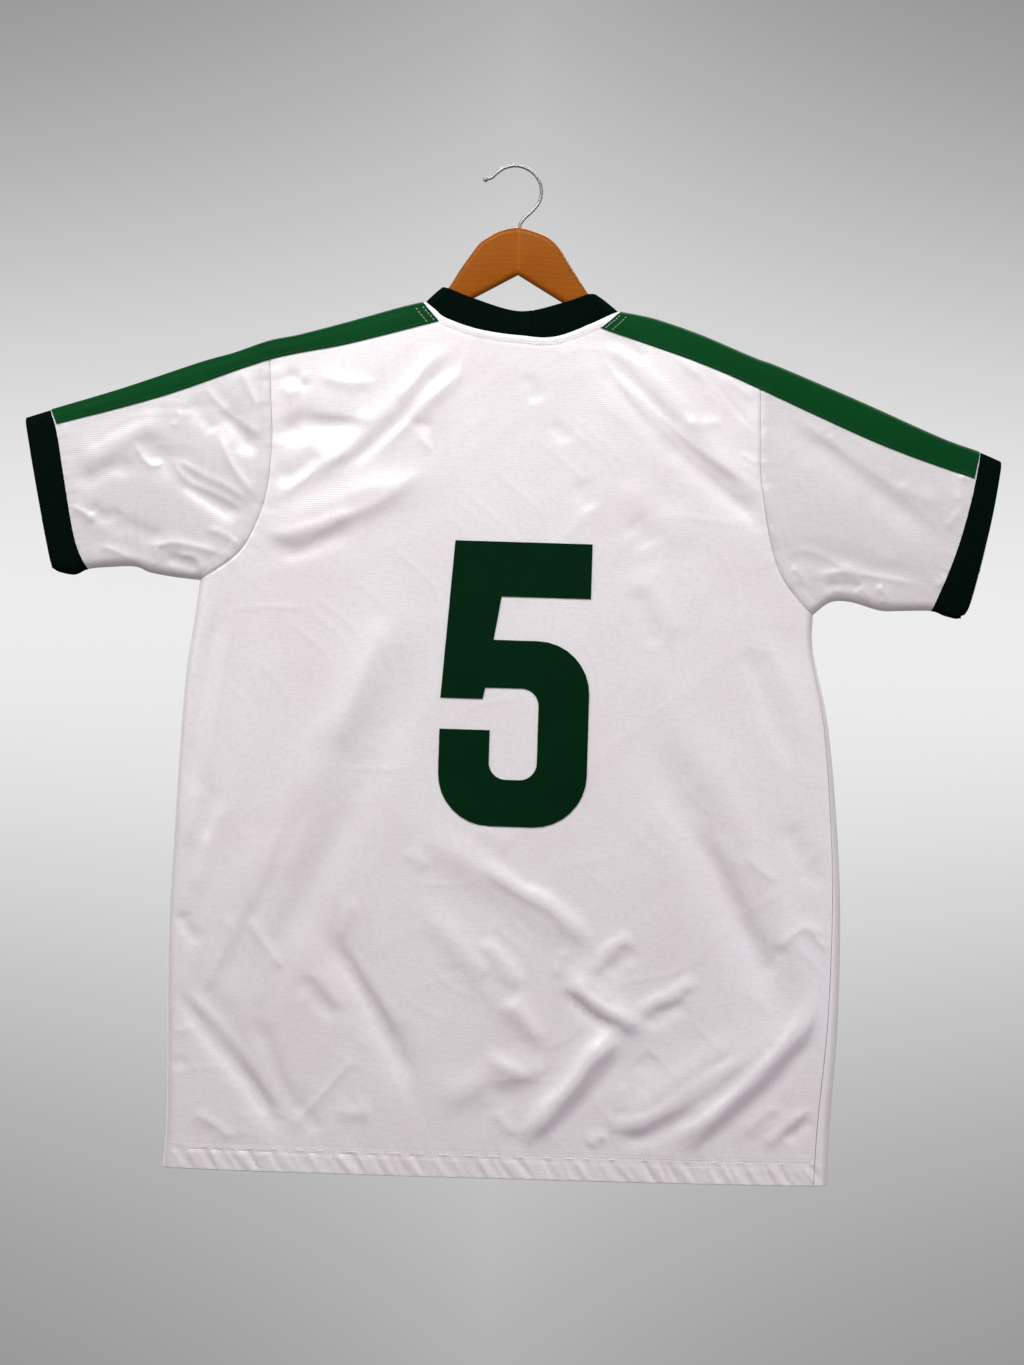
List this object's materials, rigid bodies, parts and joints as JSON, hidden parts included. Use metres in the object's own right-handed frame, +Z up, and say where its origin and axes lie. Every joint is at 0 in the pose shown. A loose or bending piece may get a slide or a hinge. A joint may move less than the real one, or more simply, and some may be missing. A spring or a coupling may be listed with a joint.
{
  "type": "football jersey on a wooden hanger",
  "caption": "Short-sleeved football jersey with ribbed neckband and cuffs, plain shoulder bands, hung flat on a wooden hanger with a wire hook.",
  "frame": {"origin": "top of the inside of the hanger's hook, where the rail that carries it touches", "axes": "+Z up, +Y from the back of the shirt to its front, +X to the right of someone looking at the shirt's back, along the sleeves"},
  "size_m": [0.8588, 0.0416, 0.8944],
  "materials": {
    "white_cloth": "glossy white polyester with a very fine horizontal knit",
    "dark_rib": "matt near-black green fine rib",
    "green_band": "smooth dark green polyester tape",
    "varnished_wood": "honey-orange varnished hardwood",
    "hook_wire": "bright polished steel wire"
  },
  "bodies": {
    "root": {"back_panel": "white_cloth", "front_panel": "white_cloth", "sleeve_left": "white_cloth", "sleeve_right": "white_cloth", "cuff_left": "dark_rib", "cuff_right": "dark_rib", "neckband": "dark_rib", "shoulder_band_left": "green_band", "shoulder_band_right": "green_band", "hanger_wood": "varnished_wood", "hanger_hook": "hook_wire"}
  },
  "joints": []
}
